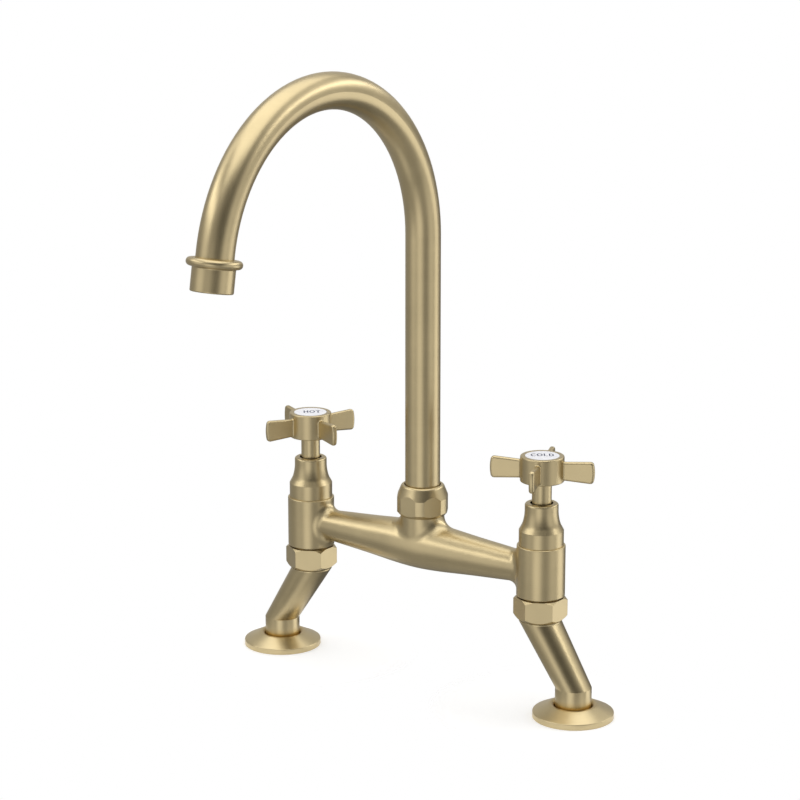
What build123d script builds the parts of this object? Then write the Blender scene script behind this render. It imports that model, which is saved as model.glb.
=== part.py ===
from build123d import *

import os
from math import cos, radians, sin, sqrt, tan

# Bridge kitchen tap with a swivelling swan-neck spout, crosshead handles and cranked legs.
#
# Millimetres. X runs along the bridge with the hot valve at -X, the spout reaches towards
# -Y and Z is up. The origin lies on the worktop, midway between the two feet, on the axis
# of the spout column. Valve and leg pieces are modelled for the cold side about their own
# vertical axis, with +X outward, and the hot side is their mirror image.

# ---------------------------------------------------------------- clearances
RUN_FIT = 0.06  # radial, between pieces that turn in each other
SCREW_FIT = 0.05  # radial, between a male thread and its female thread
SOCKET_FIT = 0.04  # radial, in brazed or pushed sockets
SEAM = 0.3  # visible gap between stacked pieces that don't seat on each other
RING_FIT = 0.05  # between a sealing ring or clip and what it lies in
OVERCUT = 1.0  # how far a cutting tool runs past a face

# ---------------------------------------------------------------- feet and legs
FLANGE_R = 25.1
FLANGE_RIM_H = 3.5
FLANGE_CONE_H = 9.85  # where the cone's slope would meet the bore
FLANGE_RIM_ROUND = 0.6
FLANGE_TOP_ROUND = 2.5  # rolls the cone over and down to the foot
FLANGE_FIT = 0.15
GASKET_IN_R = 13.5
GASKET_OUT_R = 23.0
GASKET_T = 1.8

LEG_REACH = 25.1  # how far the crank carries the foot outward
LEG_FOOT_R = 11.3
LEG_FOOT_Z = 2.0  # lower end of the leg, hidden inside the rose
LEG_CREASE_Z = 19.0  # where the upright foot turns into the crank
LEG_TOP_Z = 57.2
LEG_TOP_R = 13.2
LEG_RIM_H = 0.8
LEG_NECK_R = 10.0
LEG_NECK_H = 4.2
LEG_BORE_R = 7.5

TAIL_THREAD_R = 20.955 / 2  # half the major diameter of a half-inch pipe thread
TAIL_LENGTH = 57.0  # below the worktop's upper face
TAIL_BORE_R = 7.2
TAIL_SPIGOT_R = 9.0
TAIL_SPIGOT_H = 12.0
TAIL_END_CHAMFER = 1.0
TAIL_INLET_L = 15.0  # inlet thread, from the lower end up to the relief groove
TAIL_RELIEF_R = 9.4
TAIL_RELIEF_W = 2.0

WORKTOP_T = 30.0  # the worktop that the nuts are set for
TAIL_WASHER_R = 18.0
TAIL_WASHER_T = 3.0
BACKNUT_AF = 27.0
BACKNUT_H = 6.0
BACKNUT_FLANGE_R = 16.0
BACKNUT_FLANGE_T = 2.0

# ---------------------------------------------------------------- union nuts
UNION_AF = 29.0
UNION_H = 14.3
UNION_TOP_CHAMFER_H = 1.7
UNION_TOP_R = 14.7
UNION_BOTTOM_CHAMFER_H = 2.8
UNION_BOTTOM_R = 13.4
UNION_LIP_T = 1.8
UNION_THREAD_R = 12.0
UNION_WASHER_T = 1.8
UNION_WASHER_OUT_R = 11.6
SNAP_RING_T = 1.0
SNAP_RING_DEPTH = 0.8
SNAP_RING_OUT_R = 11.4
SNAP_RING_OPENING = 3.0

# ---------------------------------------------------------------- bridge
BODY_CENTRES = 180.0
BODY_R = 15.0
BODY_H = 32.4
BODY_TOP_ROUND = 0.6
BODY_BOTTOM_ROUND = 0.8
NUT_TO_BODY = 0.85
SEAT_RISE = 9.8  # valve seat above the underside of the body, clear of the waterway
SEAT_T = 4.0
SEAT_HOLE_R = 5.0
INLET_R = 7.5
VALVE_THREAD_R = 20.955 / 2

ARM_RISE = 15.6  # arm axis above the underside of the body
ARM_MIDDLE_R = 15.0
ARM_HALFWAY_R = 12.5
ARM_END_R = 9.6
ARM_END_TAPER = 0.095  # slope of the arm's outline where it meets the body
ARM_INSIDE = 6.0  # how far the arm runs on inside the body's outline
ARM_BLEND = 6.8
WATERWAY_R = 5.0

BOSS_R = 13.75
BOSS_RISE = 20.35  # shoulder under the column nut, above the arm axis
BOSS_BLEND = 9.5
BOSS_THREAD_R = 13.0
BOSS_THREAD_H = 8.6
BOSS_BORE_R = 9.06
BOSS_BORE_D = 21.0
BOSS_WATERWAY_R = 7.0

# ---------------------------------------------------------------- column nut
COLUMN_NUT_R = 16.5
COLUMN_NUT_AF = 31.0
COLUMN_NUT_GAP = 0.15  # above the boss, since the nut seats on the slip ring
COLUMN_NUT_H = 19.65
COLUMN_NUT_FOOT_H = 2.45
COLUMN_NUT_FOOT_R = 14.3
COLUMN_NUT_STRAIGHT_H = 9.2
COLUMN_NUT_TOP_R = 13.25
COLUMN_NUT_TOP_ROUND = 2.0
COLUMN_NUT_LIP_GAP = 0.5  # radial, round the tube
COLUMN_NUT_LIP_ROUND = 0.3

# ---------------------------------------------------------------- spout
TUBE_R = 11.0
TUBE_WALL = 1.5
BEND_START_Z = 287.95
BEND_R = 98.4
BEND_SWEEP = 170.0
OUTLET_STRAIGHT = 10.0

FERRULE_COLLAR_R = 12.6
FERRULE_COLLAR_T = 2.5
FERRULE_BORE_R = 5.8
FERRULE_SPIGOT_H = 20.0
FERRULE_SOCKET_H = 12.0
SLIP_RING_T = 1.0
SPOUT_O_RING_SECTION = 1.8
SPOUT_O_RING_SPACING = 7.0
SPOUT_O_RING_FIRST = 4.0  # below the collar

NOZZLE_R = 12.45
NOZZLE_LENGTH = 20.9  # from the end of the bend to the mouth
BEAD_R = 16.1
BEAD_SECTION_R = 2.5
BEAD_CENTRE = 4.35  # below the end of the bend
BEAD_SEAT_R = 12.2
BEAD_BLEND = 0.8
NOZZLE_MOUTH_ROUND = 0.8
NOZZLE_STOP_T = 2.0
AERATOR_THREAD_R = 11.0
AERATOR_SEAL_T = 1.0
AERATOR_WALL = 1.3
AERATOR_LENGTH = 7.6
AERATOR_LIP_T = 1.0
AERATOR_HOLE_R = 0.65
AERATOR_RING_STEP = 2.4
AERATOR_RING_COUNT = 3
AERATOR_FIRST_RING_HOLES = 6  # and as many more in each ring outside it

# ---------------------------------------------------------------- bonnets
BONNET_R = 13.8
BONNET_SHOULDER_H = 9.35
BONNET_CONE_R = 11.8
BONNET_CONE_H = 3.7
BONNET_CONE_BLEND = 12.0
BONNET_NECK_R = 10.33
BONNET_SWEEP_H = 9.1
BONNET_H = 26.45
BONNET_TOP_ROUND = 1.4
BONNET_THREAD_R = 12.2
BONNET_THREAD_H = 4.5
BONNET_CHAMBER_R = 12.0
BONNET_CHAMBER_H = 9.0
BONNET_NECK_BORE_R = 8.6
BONNET_NECK_BORE_Z = 16.0
BONNET_LIP_T = 1.5
BONNET_LIP_R = 7.15

# ---------------------------------------------------------------- ceramic cartridge
SEAT_SEAL_T = 2.5
SEAT_SEAL_IN_R = 5.2
FIXED_DISC_T = 3.5
MOVING_DISC_T = 3.0
DISC_R = 7.0
DISC_FILM = 0.02
PORT_IN_R = 2.6
PORT_OUT_R = 5.7
PORT_HALF_ANGLE = 40.0
VALVE_TURN_ANGLE = 90.0  # from closed to open
HOUSING_R = 8.9
HOUSING_CAVITY_H = 13.8
HOUSING_THREAD_H = 9.0
WINDOW_W = 8.0
WINDOW_H = 2.2
CARTRIDGE_FLANGE_T = 3.5
CARTRIDGE_HEX_AF = 19.0
CARTRIDGE_HEX_H = 5.0
CARTRIDGE_NECK_R = 7.6
CARTRIDGE_H = 18.2  # above the body's top face

SPINDLE_R = 4.0
SPINDLE_FOOT_R = 3.2
SPINDLE_COLLAR_T = 2.0
TONGUE_L = 8.0
TONGUE_W = 3.0
TONGUE_D = 1.0
SPLINE_START_Z = 12.0  # below the spindle's upper end
SPLINE_TEETH = 20
SPLINE_DEPTH = 0.4
SPINDLE_O_RING_SECTION = 1.2
SPINDLE_O_RING_Z = 2.0  # above the body's top face
SPINDLE_CLIP_T = 0.8
SPINDLE_CLIP_R = 6.0
SPINDLE_CLIP_DEPTH = 0.7
SPINDLE_CLIP_OPENING = 2.4
CARTRIDGE_O_RING_SECTION = 1.5

# ---------------------------------------------------------------- handles
HANDLE_LIFT = 13.75  # hub's underside above the bonnet's top
HUB_R = 13.5
HUB_H = 16.0
HUB_TOP_ROUND = 0.8
HUB_BOTTOM_ROUND = 0.7
STEM_R = 6.05
STEM_BELOW_BONNET = 5.8
SPLINE_SOCKET_H = 6.45  # above the hub's underside
SPOKE_TIP = 32.5
SPOKE_BOW = 1.0  # how far the end bulges past its corners
SPOKE_T = 3.4
SPOKE_ROOT_H = 11.6
SPOKE_TIP_H = 13.9
SPOKE_MID = 7.05  # above the hub's underside
SPOKE_CORNER = 2.2
SPOKE_EDGE = 1.4
SPOKE_BLEND = 0.9  # where a spoke grows out of the hub
SPOKE_ANGLE = 22.0
SPOKES = 4
INDEX_R = 10.45
INDEX_T = 2.0
INDEX_FIT = 0.1
INDEX_SUNK = 0.05  # the disc's edge below the hub's rim
INDEX_CROWN = 0.15
SCREW_R = 2.0
SCREW_L = 13.5
SCREW_HEAD_R = 3.8
SCREW_HEAD_H = 2.4
SCREW_KEY_AF = 2.5
SCREW_KEY_D = 1.4
SCREW_HOLE_D = 12.0

# ---------------------------------------------------------------- levels, worked out
BODY_X = BODY_CENTRES / 2
LEG_RIM_Z = LEG_TOP_Z + LEG_RIM_H
LEG_NECK_Z = LEG_RIM_Z + LEG_NECK_H
UNION_Z = LEG_RIM_Z + SEAM
UNION_TOP_Z = UNION_Z + UNION_H
UNION_LIP_Z = UNION_Z + UNION_LIP_T
SPIGOT_Z = LEG_NECK_Z + UNION_WASHER_T
BODY_Z = UNION_TOP_Z + NUT_TO_BODY
BODY_TOP_Z = BODY_Z + BODY_H
ARM_Z = BODY_Z + ARM_RISE
SEAT_Z = BODY_Z + SEAT_RISE
BOSS_Z = ARM_Z + BOSS_RISE
BOSS_TOP_Z = BOSS_Z + BOSS_THREAD_H
COLUMN_NUT_Z = BOSS_Z + COLUMN_NUT_GAP
COLUMN_NUT_TOP_Z = COLUMN_NUT_Z + COLUMN_NUT_H
TUBE_Z = BOSS_TOP_Z + FERRULE_COLLAR_T
TUBE_BORE_R = TUBE_R - TUBE_WALL
O_RING_RECESS_R = VALVE_THREAD_R + CARTRIDGE_O_RING_SECTION + RING_FIT
O_RING_RECESS_D = CARTRIDGE_O_RING_SECTION + 2 * RING_FIT
BONNET_TOP_Z = BODY_TOP_Z + BONNET_H
HUB_Z = BONNET_TOP_Z + HANDLE_LIFT
HUB_TOP_Z = HUB_Z + HUB_H
STEM_Z = BONNET_TOP_Z - STEM_BELOW_BONNET
SOCKET_TOP_Z = HUB_Z + SPLINE_SOCKET_H
SPINDLE_TOP_Z = SOCKET_TOP_Z - SEAM
SPLINE_Z = SPINDLE_TOP_Z - SPLINE_START_Z
INDEX_Z = HUB_TOP_Z - INDEX_SUNK + INDEX_CROWN - INDEX_T
FIXED_DISC_Z = SEAT_Z + SEAT_SEAL_T
MOVING_DISC_Z = FIXED_DISC_Z + FIXED_DISC_T + DISC_FILM
DISC_TOP_Z = MOVING_DISC_Z + MOVING_DISC_T
CAVITY_R = DISC_R + RUN_FIT
CAVITY_TOP_Z = SEAT_Z + HOUSING_CAVITY_H
CARTRIDGE_TOP_Z = BODY_TOP_Z + CARTRIDGE_H
SPINDLE_COLLAR_Z = CAVITY_TOP_Z - SEAM / 2 - SPINDLE_COLLAR_T
SPINDLE_CLIP_Z = CARTRIDGE_TOP_Z + RING_FIT
TAIL_WASHER_Z = -WORKTOP_T - TAIL_WASHER_T
BACKNUT_Z = TAIL_WASHER_Z - BACKNUT_H


# ---------------------------------------------------------------- shape helpers
def turned(points, rounds=()):
    """Turn a closed (radius, height) polygon about Z, with some corners rounded.

    rounds holds (corner, radius) pairs.
    """
    face = make_face(Polyline(*points, close=True))
    for corner, radius in rounds:
        face = fillet(face.vertices().sort_by_distance(corner)[0], radius)
    return revolve(Plane.XZ * face, Axis.Z)


def tube(outer, inner, low, high):
    """A plain ring of rectangular section."""
    return turned([(inner, low), (outer, low), (outer, high), (inner, high)])


def rod(radius, low, high):
    """A solid upright cylinder."""
    return Pos(0, 0, low) * extrude(Circle(radius), high - low)


def hexagon(across_flats, low, high):
    """An upright hexagonal bar with two of its flats facing +X and -X."""
    outline = RegularPolygon(across_flats / 2, 6, major_radius=False, rotation=30)
    return Pos(0, 0, low) * extrude(outline, high - low)


def o_ring(centre_r, section, height):
    """A sealing ring of round section at the given mid height."""
    return Pos(0, 0, height) * Torus(centre_r, section / 2)


def split_ring(outer, inner, low, thickness, opening):
    """A snap ring with a gap towards +X."""
    ring = tube(outer, inner, low, low + thickness)
    gap = Pos(outer / 2, 0, low + thickness / 2) * Box(outer + OVERCUT, opening, thickness + OVERCUT)
    return ring - Pos(OVERCUT, 0, 0) * gap


def blended(first, second, radius):
    """Two castings joined, with the seam between them filleted."""
    joined = first + second
    return fillet(new_edges(first, second, combined=joined), radius)


def leaning(low_x, low_z, low_r, high_x, high_z, high_r):
    """A leaning round limb whose level sections are circles."""
    foot = Pos(low_x, 0, low_z) * Circle(low_r)
    head = Pos(high_x, 0, high_z) * Circle(high_r)
    return loft([foot, head], ruled=True)


def spline_bar(tip_r, low, high):
    """A toothed drive: a star with SPLINE_TEETH pointed teeth."""
    step = 360 / SPLINE_TEETH
    root_r = tip_r - SPLINE_DEPTH
    corners = []
    for tooth in range(SPLINE_TEETH):
        for turn, radius in ((0, tip_r), (0.5, root_r)):
            angle = radians((tooth + turn) * step)
            corners.append((radius * cos(angle), radius * sin(angle)))
    outline = make_face(Polyline(*corners, close=True))
    return Pos(0, 0, low) * extrude(outline, high - low)


# ---------------------------------------------------------------- bridge casting
def bridge_arms():
    """The spindle-shaped arms, turned about the bridge's long axis."""
    reach = BODY_X - BODY_R
    far = reach + ARM_INSIDE
    far_r = ARM_END_R - ARM_END_TAPER * ARM_INSIDE
    crown = Spline(
        (-far, far_r),
        (-reach, ARM_END_R),
        (-reach / 2, ARM_HALFWAY_R),
        (0, ARM_MIDDLE_R),
        (reach / 2, ARM_HALFWAY_R),
        (reach, ARM_END_R),
        (far, far_r),
        tangents=[(1, ARM_END_TAPER), (1, -ARM_END_TAPER)],
    )
    base = Polyline((far, far_r), (far, 0), (-far, 0), (-far, far_r))
    return Pos(0, 0, ARM_Z) * revolve(make_face([crown, base]), Axis.X)


def valve_body_shell():
    """The outside of one valve body, without its union spigot."""
    bottom = (BODY_R, BODY_Z)
    top = (BODY_R, BODY_TOP_Z)
    outline = [(0, BODY_Z), bottom, top, (0, BODY_TOP_Z)]
    return turned(outline, [(bottom, BODY_BOTTOM_ROUND), (top, BODY_TOP_ROUND)])


def valve_body_bores():
    """The hollow of one valve body: inlet, seat, valve thread and seal recess."""
    return (
        rod(INLET_R, SPIGOT_Z - OVERCUT, SEAT_Z - SEAT_T)
        + rod(SEAT_HOLE_R, SEAT_Z - SEAT_T - OVERCUT, SEAT_Z + OVERCUT)
        + rod(VALVE_THREAD_R, SEAT_Z, BODY_TOP_Z + OVERCUT)
        + rod(O_RING_RECESS_R, BODY_TOP_Z - O_RING_RECESS_D, BODY_TOP_Z + OVERCUT)
    )


def bridge_body():
    """One casting: two valve bodies, the arms between them and the spout boss."""
    cold_body = Pos(BODY_X, 0, 0) * valve_body_shell()
    hot_body = mirror(cold_body, about=Plane.YZ)
    casting = blended(bridge_arms(), cold_body, ARM_BLEND)
    casting = blended(casting, hot_body, ARM_BLEND)
    casting = blended(casting, rod(BOSS_R, ARM_Z, BOSS_Z), BOSS_BLEND)
    casting += rod(BOSS_THREAD_R, BOSS_Z - OVERCUT, BOSS_TOP_Z)
    for x in (-BODY_X, BODY_X):
        casting += Pos(x, 0, 0) * rod(UNION_THREAD_R, SPIGOT_Z, BODY_Z + OVERCUT)
        casting -= Pos(x, 0, 0) * valve_body_bores()
    casting -= Pos(0, 0, ARM_Z) * Rot(0, 90, 0) * Cylinder(WATERWAY_R, BODY_CENTRES)
    casting -= rod(BOSS_WATERWAY_R, ARM_Z, BOSS_TOP_Z)
    casting -= rod(BOSS_BORE_R, BOSS_TOP_Z - BOSS_BORE_D, BOSS_TOP_Z + OVERCUT)
    return casting


# ---------------------------------------------------------------- column and spout
def hexagon_turned(across_flats, low, high):
    """A hexagonal bar with two of its flats facing +Y and -Y."""
    return Rot(0, 0, 30) * hexagon(across_flats, low, high)


def column_nut():
    """Domed round nut with six flats that holds the spout down on the boss."""
    straight_z = COLUMN_NUT_Z + COLUMN_NUT_FOOT_H
    dome_z = straight_z + COLUMN_NUT_STRAIGHT_H
    shoulder_z = TUBE_Z + SLIP_RING_T
    thread_r = BOSS_THREAD_R + SCREW_FIT
    lip_r = TUBE_R + COLUMN_NUT_LIP_GAP
    crown = (COLUMN_NUT_TOP_R, COLUMN_NUT_TOP_Z)
    lip = (lip_r, COLUMN_NUT_TOP_Z)
    outline = [
        (thread_r, COLUMN_NUT_Z),
        (COLUMN_NUT_FOOT_R, COLUMN_NUT_Z),
        (COLUMN_NUT_R, straight_z),
        (COLUMN_NUT_R, dome_z),
        crown,
        lip,
        (lip_r, shoulder_z),
        (thread_r, shoulder_z),
    ]
    nut = turned(outline, [(crown, COLUMN_NUT_TOP_ROUND), (lip, COLUMN_NUT_LIP_ROUND)])
    return nut & hexagon_turned(COLUMN_NUT_AF, COLUMN_NUT_Z, COLUMN_NUT_TOP_Z)


def ferrule():
    """Turned end of the spout: sealed spigot, bearing collar and the plug in the tube."""
    low = BOSS_TOP_Z - FERRULE_SPIGOT_H
    top = TUBE_Z + FERRULE_SOCKET_H
    spigot_r = BOSS_BORE_R - RUN_FIT
    plug_r = TUBE_BORE_R - SOCKET_FIT
    piece = turned(
        [
            (FERRULE_BORE_R, low),
            (spigot_r, low),
            (spigot_r, BOSS_TOP_Z),
            (FERRULE_COLLAR_R, BOSS_TOP_Z),
            (FERRULE_COLLAR_R, TUBE_Z),
            (plug_r, TUBE_Z),
            (plug_r, top),
            (FERRULE_BORE_R, top),
        ]
    )
    groove_h = SPOUT_O_RING_SECTION + 2 * RING_FIT
    groove_r = spigot_r - SPOUT_O_RING_SECTION
    for mid in spout_o_ring_heights():
        piece -= tube(spigot_r + OVERCUT, groove_r, mid - groove_h / 2, mid + groove_h / 2)
    return piece


def spout_o_ring_heights():
    """Mid heights of the two seals on the spout's spigot."""
    first = BOSS_TOP_Z - SPOUT_O_RING_FIRST
    return [first, first - SPOUT_O_RING_SPACING]


def spout_o_rings():
    """Both seals of the spigot, as two separate rings."""
    centre_r = BOSS_BORE_R - RING_FIT - SPOUT_O_RING_SECTION / 2
    rings = [o_ring(centre_r, SPOUT_O_RING_SECTION, mid) for mid in spout_o_ring_heights()]
    return Compound(children=rings)


def slip_ring():
    """Low-friction ring between the ferrule's collar and the column nut."""
    return tube(FERRULE_COLLAR_R, TUBE_R + RING_FIT, TUBE_Z, TUBE_Z + SLIP_RING_T)


def outlet_frame():
    """Placement at the end of the bend, with local Z along the water's way out."""
    sweep = radians(BEND_SWEEP)
    y = -BEND_R + BEND_R * cos(sweep)
    z = BEND_START_Z + BEND_R * sin(sweep)
    way = (0, -sin(sweep), cos(sweep))
    return Plane(origin=(0, y, z), x_dir=(1, 0, 0), z_dir=way)


def spout_tube():
    """Upright column, the big bend and the short straight end inside the nozzle."""
    wall = Circle(TUBE_R) - Circle(TUBE_BORE_R)
    column = Pos(0, 0, TUBE_Z) * extrude(wall, BEND_START_Z - TUBE_Z)
    hinge = Axis((0, -BEND_R, BEND_START_Z), (1, 0, 0))
    bend = revolve(Pos(0, 0, BEND_START_Z) * wall, hinge, BEND_SWEEP)
    end = outlet_frame() * extrude(wall, OUTLET_STRAIGHT)
    return column + bend + end


def nozzle():
    """Turned outlet with a round bead, brazed over the tube's end."""
    socket_r = TUBE_R + SOCKET_FIT
    bead_mid_r = BEAD_R - BEAD_SECTION_R
    seat_rise = sqrt(BEAD_SECTION_R**2 - (bead_mid_r - BEAD_SEAT_R) ** 2)
    under_rise = sqrt(BEAD_SECTION_R**2 - (bead_mid_r - NOZZLE_R) ** 2)
    top = BEAD_CENTRE - seat_rise
    under = (NOZZLE_R, BEAD_CENTRE + under_rise)
    thread_z = OUTLET_STRAIGHT + NOZZLE_STOP_T
    mouth = (NOZZLE_R, NOZZLE_LENGTH)
    inside = Polyline(
        (BEAD_SEAT_R, top),
        (socket_r, top),
        (socket_r, OUTLET_STRAIGHT),
        (TUBE_BORE_R, OUTLET_STRAIGHT),
        (TUBE_BORE_R, thread_z),
        (AERATOR_THREAD_R, thread_z),
        (AERATOR_THREAD_R, NOZZLE_LENGTH),
        mouth,
        under,
    )
    bead = ThreePointArc(under, (BEAD_R, BEAD_CENTRE), (BEAD_SEAT_R, top))
    face = make_face([inside, bead])
    face = fillet(face.vertices().sort_by_distance(mouth)[0], NOZZLE_MOUTH_ROUND)
    face = fillet(face.vertices().sort_by_distance(under)[0], BEAD_BLEND)
    return outlet_frame() * revolve(Plane.XZ * face, Axis.Z)


def aerator_levels():
    """Local heights of the aerator seal, the cage and the cage's lower end."""
    seal = OUTLET_STRAIGHT + NOZZLE_STOP_T
    cage = seal + AERATOR_SEAL_T
    return seal, cage, cage + AERATOR_LENGTH


def aerator_seal():
    """Flat washer between the nozzle's stop and the aerator."""
    seal, cage, _ = aerator_levels()
    outer = AERATOR_THREAD_R - SCREW_FIT - RING_FIT
    return outlet_frame() * tube(outer, outer - AERATOR_WALL, seal, cage)


def aerator_cage():
    """Threaded ring that holds the flow former, with two key slots in its rim."""
    _, cage, end = aerator_levels()
    outer = AERATOR_THREAD_R - SCREW_FIT
    inner = outer - AERATOR_WALL
    ring = tube(outer, inner, cage, end)
    lip = tube(inner + SOCKET_FIT, inner - AERATOR_LIP_T, end - AERATOR_LIP_T, end)
    slot = Pos(0, 0, end) * Box(2 * outer, 2 * AERATOR_WALL, AERATOR_LIP_T)
    return outlet_frame() * (ring + lip - slot)


def aerator_insert():
    """Plastic flow former with three rings of jets round a centre jet."""
    _, cage, end = aerator_levels()
    radius = AERATOR_THREAD_R - SCREW_FIT - AERATOR_WALL - SOCKET_FIT
    former = rod(radius, cage, end - AERATOR_LIP_T)
    jets = [Pos(0, 0, cage)]
    for ring in range(1, AERATOR_RING_COUNT + 1):
        places = PolarLocations(ring * AERATOR_RING_STEP, ring * AERATOR_FIRST_RING_HOLES)
        jets += [Pos(0, 0, cage) * place for place in places]
    for place in jets:
        former -= place * Cylinder(AERATOR_HOLE_R, 2 * AERATOR_LENGTH)
    return outlet_frame() * former


# ---------------------------------------------------------------- valve above the body
def bonnet():
    """Cover over the cartridge: shoulder, cone and a hollow sweep up to a slim neck."""
    shoulder = BODY_TOP_Z + BONNET_SHOULDER_H
    cone = shoulder + BONNET_CONE_H
    cone_end = (BONNET_CONE_R, cone)
    sweep_end = (BONNET_NECK_R, cone + BONNET_SWEEP_H)
    top = (BONNET_NECK_R, BONNET_TOP_Z)
    lip = BONNET_TOP_Z - BONNET_LIP_T
    thread_r = BONNET_THREAD_R + SCREW_FIT
    outside = [
        Polyline((thread_r, BODY_TOP_Z), (BONNET_R, BODY_TOP_Z), (BONNET_R, shoulder), cone_end),
        TangentArc(sweep_end, cone_end, tangent=(0, -1)),
    ]
    inside = Polyline(
        sweep_end,
        top,
        (BONNET_LIP_R, BONNET_TOP_Z),
        (BONNET_LIP_R, lip),
        (BONNET_NECK_BORE_R, lip),
        (BONNET_NECK_BORE_R, BODY_TOP_Z + BONNET_NECK_BORE_Z),
        (BONNET_CHAMBER_R, BODY_TOP_Z + BONNET_CHAMBER_H),
        (BONNET_CHAMBER_R, BODY_TOP_Z + BONNET_THREAD_H),
        (thread_r, BODY_TOP_Z + BONNET_THREAD_H),
        (thread_r, BODY_TOP_Z),
    )
    face = make_face([*outside, inside])
    face = fillet(face.vertices().sort_by_distance(cone_end)[0], BONNET_CONE_BLEND)
    face = fillet(face.vertices().sort_by_distance(top)[0], BONNET_TOP_ROUND)
    return revolve(Plane.XZ * face, Axis.Z)


def cartridge_body():
    """Brass housing of the quarter-turn cartridge, screwed into the valve body."""
    low = SEAT_Z + SEAM
    thread_z = BODY_TOP_Z - HOUSING_THREAD_H
    thread_r = VALVE_THREAD_R - SCREW_FIT
    flange_z = BODY_TOP_Z + CARTRIDGE_FLANGE_T
    hex_z = flange_z + CARTRIDGE_HEX_H
    bore_r = SPINDLE_R + RUN_FIT
    housing = turned(
        [
            (CAVITY_R, low),
            (HOUSING_R, low),
            (HOUSING_R, thread_z),
            (thread_r, thread_z),
            (thread_r, BODY_TOP_Z),
            (BONNET_THREAD_R, BODY_TOP_Z),
            (BONNET_THREAD_R, flange_z),
            (CARTRIDGE_NECK_R, flange_z),
            (CARTRIDGE_NECK_R, CARTRIDGE_TOP_Z),
            (bore_r, CARTRIDGE_TOP_Z),
            (bore_r, CAVITY_TOP_Z),
            (CAVITY_R, CAVITY_TOP_Z),
        ]
    )
    nut = hexagon(CARTRIDGE_HEX_AF, flange_z, hex_z) - rod(bore_r, flange_z, hex_z)
    window_z = DISC_TOP_Z + WINDOW_H / 2 + RING_FIT
    windows = Pos(0, 0, window_z) * Box(2 * HOUSING_R + OVERCUT, WINDOW_W, WINDOW_H)
    return housing + nut - windows


def disc_ports(low, thickness, turn):
    """Two opposite sector-shaped water ports."""
    width = tan(radians(PORT_HALF_ANGLE)) * PORT_OUT_R
    wedge = make_face(Polyline((0, 0), (PORT_OUT_R, width), (PORT_OUT_R, -width), close=True))
    port = (Circle(PORT_OUT_R) - Circle(PORT_IN_R)) & wedge
    ports = [Rot(0, 0, angle) * extrude(port, thickness + 2 * OVERCUT) for angle in (turn, turn + 180)]
    return Pos(0, 0, low - OVERCUT) * (ports[0] + ports[1])


def fixed_disc():
    """Ceramic disc that stands still on the seat seal."""
    disc = rod(DISC_R, FIXED_DISC_Z, FIXED_DISC_Z + FIXED_DISC_T)
    return disc - disc_ports(FIXED_DISC_Z, FIXED_DISC_T, 0)


def moving_disc():
    """Ceramic disc that turns with the spindle, shown closed, a quarter turn off."""
    slot = Pos(0, 0, DISC_TOP_Z) * Box(TONGUE_L + 2 * RING_FIT, TONGUE_W + 2 * RING_FIT, 2 * TONGUE_D)
    disc = rod(DISC_R, MOVING_DISC_Z, DISC_TOP_Z)
    return disc - disc_ports(MOVING_DISC_Z, MOVING_DISC_T, VALVE_TURN_ANGLE) - slot


def seat_seal():
    """Rubber ring squeezed between the valve seat and the fixed disc."""
    return tube(DISC_R, SEAT_SEAL_IN_R, SEAT_Z, FIXED_DISC_Z)


def cartridge_o_ring():
    """Seal in the recess at the top of the valve body."""
    centre_r = O_RING_RECESS_R - RING_FIT - CARTRIDGE_O_RING_SECTION / 2
    return o_ring(centre_r, CARTRIDGE_O_RING_SECTION, BODY_TOP_Z - O_RING_RECESS_D / 2)


def spindle():
    """Brass spindle: tongue in the disc, stop collar, sealed shaft and splined head."""
    groove_h = SPINDLE_O_RING_SECTION + 2 * RING_FIT
    ring_mid = BODY_TOP_Z + SPINDLE_O_RING_Z
    clip_h = SPINDLE_CLIP_T + 2 * RING_FIT
    clip_low = SPINDLE_CLIP_Z - RING_FIT
    shaft = (
        rod(SPINDLE_FOOT_R, DISC_TOP_Z + RING_FIT, SPINDLE_COLLAR_Z)
        + rod(DISC_R, SPINDLE_COLLAR_Z, SPINDLE_COLLAR_Z + SPINDLE_COLLAR_T)
        + rod(SPINDLE_R, SPINDLE_COLLAR_Z + SPINDLE_COLLAR_T, SPLINE_Z)
        + spline_bar(SPINDLE_R, SPLINE_Z, SPINDLE_TOP_Z)
    )
    tongue_low = DISC_TOP_Z - TONGUE_D + RING_FIT
    tongue_h = SPINDLE_COLLAR_Z - tongue_low
    shaft += Pos(0, 0, tongue_low + tongue_h / 2) * Box(TONGUE_L, TONGUE_W, tongue_h)
    shaft -= tube(
        SPINDLE_R + OVERCUT,
        SPINDLE_R - SPINDLE_O_RING_SECTION,
        ring_mid - groove_h / 2,
        ring_mid + groove_h / 2,
    )
    shaft -= tube(SPINDLE_R + OVERCUT, SPINDLE_R - SPINDLE_CLIP_DEPTH, clip_low, clip_low + clip_h)
    return shaft - rod(SCREW_R + SOCKET_FIT, SPINDLE_TOP_Z - SCREW_HOLE_D, SPINDLE_TOP_Z + OVERCUT)


def spindle_o_ring():
    """Seal on the spindle, inside the cartridge's neck."""
    centre_r = SPINDLE_R + RUN_FIT / 2 - SPINDLE_O_RING_SECTION / 2
    return o_ring(centre_r, SPINDLE_O_RING_SECTION, BODY_TOP_Z + SPINDLE_O_RING_Z)


def spindle_clip():
    """Snap ring that keeps the spindle from dropping into the cartridge."""
    inner = SPINDLE_R - SPINDLE_CLIP_DEPTH + RING_FIT
    return split_ring(SPINDLE_CLIP_R, inner, SPINDLE_CLIP_Z, SPINDLE_CLIP_T, SPINDLE_CLIP_OPENING)


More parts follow.
